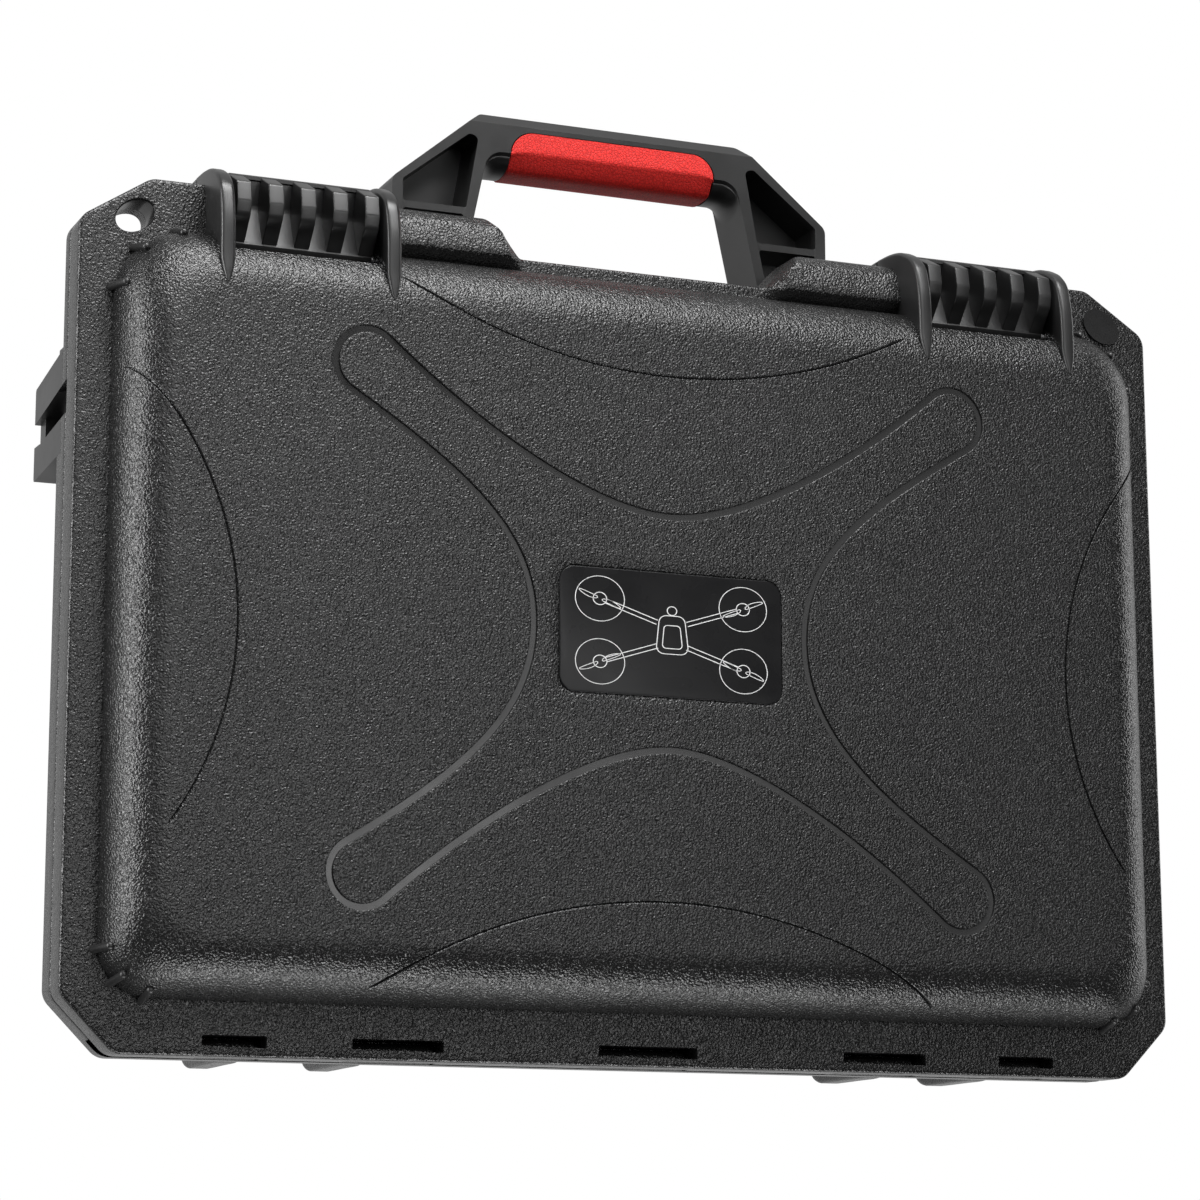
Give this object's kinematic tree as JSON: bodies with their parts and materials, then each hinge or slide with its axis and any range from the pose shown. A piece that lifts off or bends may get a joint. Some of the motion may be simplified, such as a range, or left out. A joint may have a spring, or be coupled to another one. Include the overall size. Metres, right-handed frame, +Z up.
{
  "type": "drone carrying case",
  "caption": "Moulded clamshell carrying case with a fold-down handle, hooked latches, hinge pins, a lid seal and cut foam inserts.",
  "frame": {"origin": "centre of the case's footprint, on the ground that it stands on, hinge side down", "axes": "+Z up from the hinge side to the carrying handle, +Y from the lid to the back of the base, +X to the right of somebody who faces the lid"},
  "size_m": [0.4, 0.128, 0.3352],
  "materials": {
    "shell_plastic": "pebble-grained moulded plastic, charcoal",
    "satin_plastic": "smooth satin black plastic",
    "grip_rubber": "leather-grained red soft-touch overmould",
    "label_film": "smooth near-black film with a thin white line drawing",
    "seal_rubber": "matt sealing cord",
    "foam": "open-cell charcoal foam",
    "pin_steel": "plain steel rod"
  },
  "bodies": {
    "base": {"base_shell": "shell_plastic", "base_foam_block": "foam", "base_foam_pad": "foam", "lid_seal": "seal_rubber", "hinge_pin_left": "pin_steel", "hinge_pin_right": "pin_steel", "handle_pin_left": "pin_steel", "handle_pin_right": "pin_steel"},
    "lid": {"lid_shell": "shell_plastic", "label_plate": "label_film", "lid_foam": "foam", "latch_pin_left": "pin_steel", "latch_pin_right": "pin_steel"},
    "latch_left": {"latch_left": "satin_plastic"},
    "latch_right": {"latch_right": "satin_plastic"},
    "handle": {"handle_frame": "satin_plastic", "handle_grip": "grip_rubber"}
  },
  "joints": [
    {"name": "lid_hinge", "type": "hinge", "parent": "base", "child": "lid", "pos_m": [0, -0.03035, 0.0032], "axis": [1, 0, 0], "range_deg": [0, 95]},
    {"name": "latch_left_pivot", "type": "hinge", "parent": "lid", "child": "latch_left", "pos_m": [-0.1272, -0.0485, 0.26485], "axis": [1, 0, 0], "range_deg": [0, 50]},
    {"name": "latch_right_pivot", "type": "hinge", "parent": "lid", "child": "latch_right", "pos_m": [0.1272, -0.0485, 0.26485], "axis": [1, 0, 0], "range_deg": [0, 50]},
    {"name": "handle_fold", "type": "hinge", "parent": "base", "child": "handle", "pos_m": [0, -0.00375, 0.27685], "axis": [-1, 0, 0], "range_deg": [0, 90]}
  ]
}
